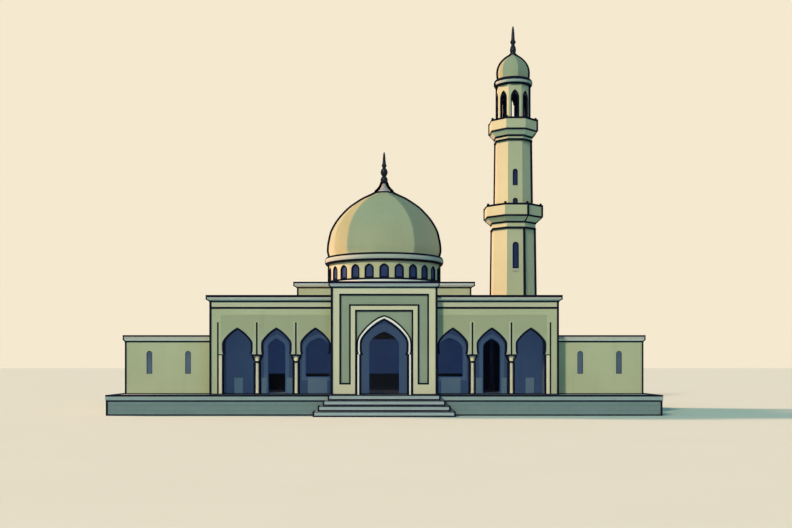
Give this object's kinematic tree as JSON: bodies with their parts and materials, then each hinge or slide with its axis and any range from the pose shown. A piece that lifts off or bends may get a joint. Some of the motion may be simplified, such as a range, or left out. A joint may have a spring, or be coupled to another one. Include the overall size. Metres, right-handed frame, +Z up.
{
  "type": "mosque building",
  "caption": "Domed mosque with an arcaded front, a raised portal, low side wings and an octagonal minaret, on a stepped platform.",
  "frame": {"origin": "on the ground, under the middle of the platform and steps", "axes": "+Z up, +X to the right along the front, towards the minaret's side; the front with the portal faces -Y"},
  "size_m": [30.48, 14.06, 24.98],
  "materials": {
    "plaster": "pale green lime plaster on masonry",
    "trim": "pale dressed stone",
    "column": "cream stone",
    "cornice": "grey green dressed stone",
    "roof": "plastered flat roof",
    "paving": "grey green stone slabs",
    "plinth": "darker stone blocks",
    "dome": "smooth green plaster",
    "finial": "dark blue patina",
    "slate": "dark blue slate inlay and beads",
    "glazing": "dark blue glass"
  },
  "bodies": {
    "root": {"arcade_column_inner_left": "column", "arcade_column_inner_right": "column", "arcade_column_outer_left": "column", "arcade_column_outer_right": "column", "arcade_respond_left": "column", "arcade_respond_right": "column", "arcade_wall_left": "plaster", "arcade_wall_right": "plaster", "attic_roof": "cornice", "attic_walls": "plaster", "cornice_front_left": "cornice", "cornice_front_right": "cornice", "cornice_left": "cornice", "cornice_rear": "cornice", "cornice_right": "cornice", "dome_cap": "trim", "dome_finial": "finial", "dome_shell": "dome", "drum_cornice": "cornice", "drum_glass": "glazing", "drum_wall_front": "plaster", "drum_wall_rear": "plaster", "hall_front_wall": "plaster", "minaret_balcony_lower": "trim", "minaret_balcony_upper": "trim", "minaret_base": "plaster", "minaret_dome": "dome", "minaret_finial": "finial", "minaret_lantern": "plaster", "minaret_ring": "trim", "minaret_shaft_lower": "plaster", "minaret_shaft_upper": "plaster", "platform_base": "plinth", "platform_paving": "paving", "portal_archivolt": "trim", "portal_block": "plaster", "portal_cornice": "cornice", "rear_glass": "glazing", "rear_wall": "plaster", "roof_slab": "roof", "side_wall_left": "plaster", "side_wall_right": "plaster", "stair_flight": "paving", "wing_glass_left": "glazing", "wing_glass_right": "glazing", "wing_roof_left": "cornice", "wing_roof_right": "cornice", "wing_walls_left": "plaster", "wing_walls_right": "plaster"}
  },
  "joints": []
}
